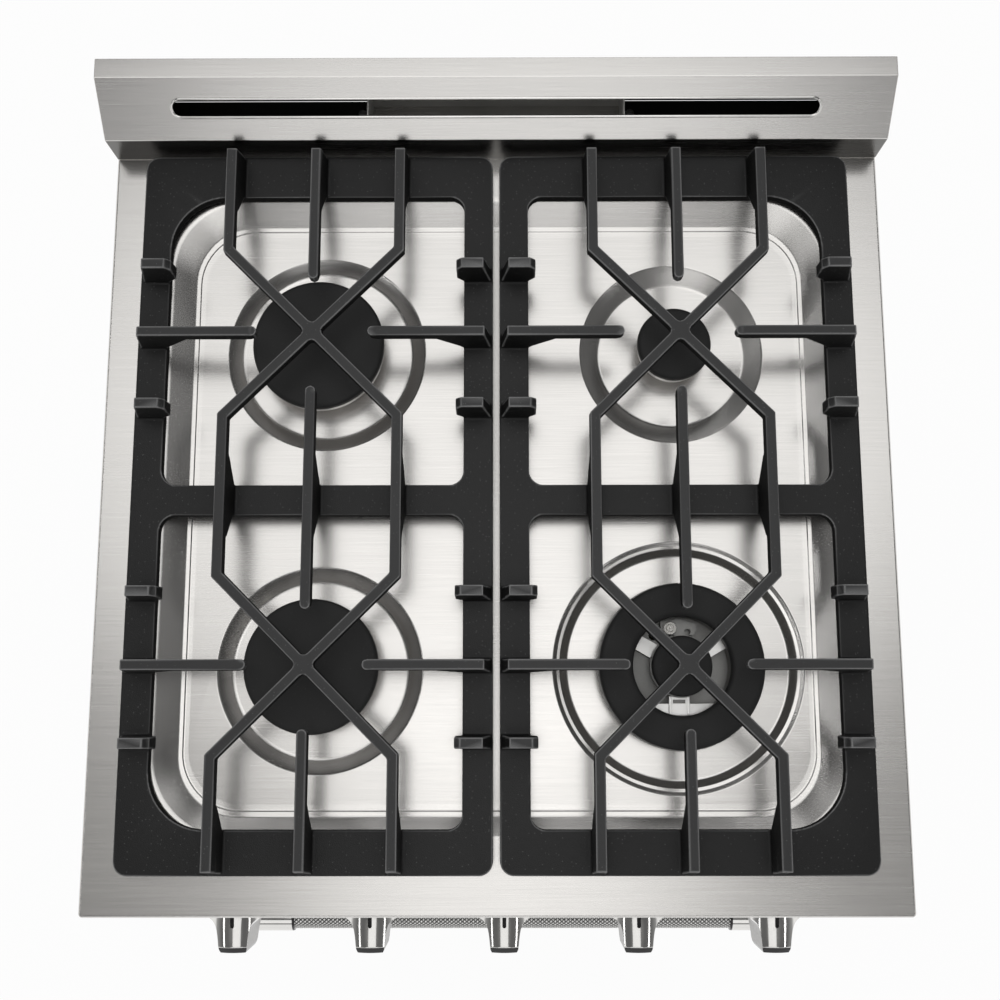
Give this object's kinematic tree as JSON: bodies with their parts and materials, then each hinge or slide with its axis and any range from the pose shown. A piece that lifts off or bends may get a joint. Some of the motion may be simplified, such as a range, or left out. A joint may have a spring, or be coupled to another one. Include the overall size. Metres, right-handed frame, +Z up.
{
  "type": "freestanding gas range",
  "caption": "Freestanding gas cooking range with raised cast grates over capped burners, turn knobs, a drop-down oven door, wire racks and levelling feet.",
  "frame": {"origin": "centre of the overall box at floor level, under the feet", "axes": "+Z up, -Y towards the person at the controls, +X to the right as seen from the front"},
  "size_m": [0.607, 0.673, 0.9802],
  "materials": {
    "stainless": "brushed stainless sheet",
    "polished_steel": "polished steel",
    "knurled_steel": "diamond-knurled steel",
    "cast_iron": "matte enamelled casting",
    "cap_enamel": "matte black enamel",
    "burner_aluminium": "cast, satin",
    "galvanised_steel": "galvanised sheet",
    "oven_enamel": "glossy speckled enamel",
    "black_enamel": "black enamel",
    "mineral_wool": "loose mineral fibre",
    "woven_seal": "woven glass rope",
    "window_glass": "dark tinted glass",
    "clear_glass": "clear glass",
    "chrome_wire": "chromed wire",
    "brass": "machined brass",
    "gas_pipe": "grey coated steel pipe",
    "white_ceramic": "glazed ceramic",
    "zinc_casting": "die-cast, dull"
  },
  "bodies": {
    "range": {"base_pan": "galvanised_steel", "left_side_panel": "stainless", "right_side_panel": "stainless", "back_panel": "galvanised_steel", "front_frame": "stainless", "kick_panel": "stainless", "legs": "stainless", "cooktop_panel": "stainless", "rear_vent_guard": "stainless", "flue_duct": "galvanised_steel", "control_panel": "stainless", "gas_manifold": "gas_pipe", "gas_valves": "brass", "gas_inlet_pipe": "gas_pipe", "pressure_regulator": "zinc_casting", "oven_walls": "oven_enamel", "oven_floor": "oven_enamel", "oven_insulation": "mineral_wool", "rack_guides": "chrome_wire", "oven_burners": "black_enamel", "oven_lamp": "clear_glass", "door_seal": "woven_seal", "hinge_brackets": "galvanised_steel", "spark_igniters": "white_ceramic", "front_left_burner": "burner_aluminium", "back_left_burner": "burner_aluminium", "back_right_burner": "burner_aluminium", "front_right_burner": "burner_aluminium"},
    "door": {"door_skin": "stainless", "door_liner": "oven_enamel", "door_outer_glass": "window_glass", "door_inner_glass": "clear_glass", "door_hinge_arms": "galvanised_steel", "handle_bar": "polished_steel", "handle_grip": "knurled_steel", "handle_posts": "polished_steel"},
    "left_grate": {"left_grate": "cast_iron"},
    "right_grate": {"right_grate": "cast_iron"},
    "lower_rack": {"lower_rack": "chrome_wire"},
    "upper_rack": {"upper_rack": "chrome_wire"},
    "front_left_cap": {"front_left_cap": "cap_enamel"},
    "back_left_cap": {"back_left_cap": "cap_enamel"},
    "back_right_cap": {"back_right_cap": "cap_enamel"},
    "front_right_ring_cap": {"front_right_ring_cap": "cap_enamel"},
    "front_right_centre_cap": {"front_right_centre_cap": "cap_enamel"},
    "back_left_stem": {"back_left_stem": "brass"},
    "back_left_knob": {"back_left_knob": "polished_steel"},
    "front_left_stem": {"front_left_stem": "brass"},
    "front_left_knob": {"front_left_knob": "polished_steel"},
    "oven_stem": {"oven_stem": "brass"},
    "oven_knob": {"oven_knob": "polished_steel"},
    "front_right_stem": {"front_right_stem": "brass"},
    "front_right_knob": {"front_right_knob": "polished_steel"},
    "back_right_stem": {"back_right_stem": "brass"},
    "back_right_knob": {"back_right_knob": "polished_steel"},
    "front_left_foot": {"front_left_foot": "polished_steel"},
    "front_right_foot": {"front_right_foot": "polished_steel"},
    "back_left_foot": {"back_left_foot": "polished_steel"},
    "back_right_foot": {"back_right_foot": "polished_steel"}
  },
  "joints": [
    {"name": "door_hinge", "type": "hinge", "parent": "range", "child": "door", "pos_m": [0, -0.2445, 0.208], "axis": [1, 0, 0], "range_deg": [0, 88], "stiffness_Nm_per_rad": 22, "springref_deg": -17.19},
    {"name": "left_grate_lift", "type": "slide", "parent": "range", "child": "left_grate", "axis": [0, 0, 1], "range_m": [0, 0.12]},
    {"name": "right_grate_lift", "type": "slide", "parent": "range", "child": "right_grate", "axis": [0, 0, 1], "range_m": [0, 0.12]},
    {"name": "front_left_cap_lift", "type": "slide", "parent": "range", "child": "front_left_cap", "axis": [0, 0, 1], "range_m": [0, 0.015]},
    {"name": "back_left_cap_lift", "type": "slide", "parent": "range", "child": "back_left_cap", "axis": [0, 0, 1], "range_m": [0, 0.015]},
    {"name": "back_right_cap_lift", "type": "slide", "parent": "range", "child": "back_right_cap", "axis": [0, 0, 1], "range_m": [0, 0.015]},
    {"name": "front_right_ring_cap_lift", "type": "slide", "parent": "range", "child": "front_right_ring_cap", "axis": [0, 0, 1], "range_m": [0, 0.015]},
    {"name": "front_right_centre_cap_lift", "type": "slide", "parent": "range", "child": "front_right_centre_cap", "axis": [0, 0, 1], "range_m": [0, 0.015]},
    {"name": "back_left_knob_turn", "type": "hinge", "parent": "range", "child": "back_left_stem", "pos_m": [-0.2, -0.3, 0.846], "axis": [0, -1, 0], "range_deg": [0, 240]},
    {"name": "back_left_knob_push", "type": "slide", "parent": "back_left_stem", "child": "back_left_knob", "axis": [0, 1, 0], "range_m": [0, 0.003], "stiffness_N_per_m": 900, "springref_m": -0.001},
    {"name": "front_left_knob_turn", "type": "hinge", "parent": "range", "child": "front_left_stem", "pos_m": [-0.096, -0.3, 0.846], "axis": [0, -1, 0], "range_deg": [0, 240]},
    {"name": "front_left_knob_push", "type": "slide", "parent": "front_left_stem", "child": "front_left_knob", "axis": [0, 1, 0], "range_m": [0, 0.003], "stiffness_N_per_m": 900, "springref_m": -0.001},
    {"name": "oven_knob_turn", "type": "hinge", "parent": "range", "child": "oven_stem", "pos_m": [0.0055, -0.3, 0.846], "axis": [0, -1, 0], "range_deg": [0, 270]},
    {"name": "oven_knob_push", "type": "slide", "parent": "oven_stem", "child": "oven_knob", "axis": [0, 1, 0], "range_m": [0, 0.003], "stiffness_N_per_m": 900, "springref_m": -0.001},
    {"name": "front_right_knob_turn", "type": "hinge", "parent": "range", "child": "front_right_stem", "pos_m": [0.107, -0.3, 0.846], "axis": [0, -1, 0], "range_deg": [0, 240]},
    {"name": "front_right_knob_push", "type": "slide", "parent": "front_right_stem", "child": "front_right_knob", "axis": [0, 1, 0], "range_m": [0, 0.003], "stiffness_N_per_m": 900, "springref_m": -0.001},
    {"name": "back_right_knob_turn", "type": "hinge", "parent": "range", "child": "back_right_stem", "pos_m": [0.211, -0.3, 0.846], "axis": [0, -1, 0], "range_deg": [0, 240]},
    {"name": "back_right_knob_push", "type": "slide", "parent": "back_right_stem", "child": "back_right_knob", "axis": [0, 1, 0], "range_m": [0, 0.003], "stiffness_N_per_m": 900, "springref_m": -0.001},
    {"name": "lower_rack_slide", "type": "slide", "parent": "range", "child": "lower_rack", "axis": [0, -1, 0], "range_m": [0, 0.03]},
    {"name": "upper_rack_slide", "type": "slide", "parent": "range", "child": "upper_rack", "axis": [0, -1, 0], "range_m": [0, 0.03]},
    {"name": "front_left_foot_height", "type": "slide", "parent": "range", "child": "front_left_foot", "axis": [0, 0, -1], "range_m": [0, 0.025]},
    {"name": "front_right_foot_height", "type": "slide", "parent": "range", "child": "front_right_foot", "axis": [0, 0, -1], "range_m": [0, 0.025]},
    {"name": "back_left_foot_height", "type": "slide", "parent": "range", "child": "back_left_foot", "axis": [0, 0, -1], "range_m": [0, 0.025]},
    {"name": "back_right_foot_height", "type": "slide", "parent": "range", "child": "back_right_foot", "axis": [0, 0, -1], "range_m": [0, 0.025]}
  ]
}
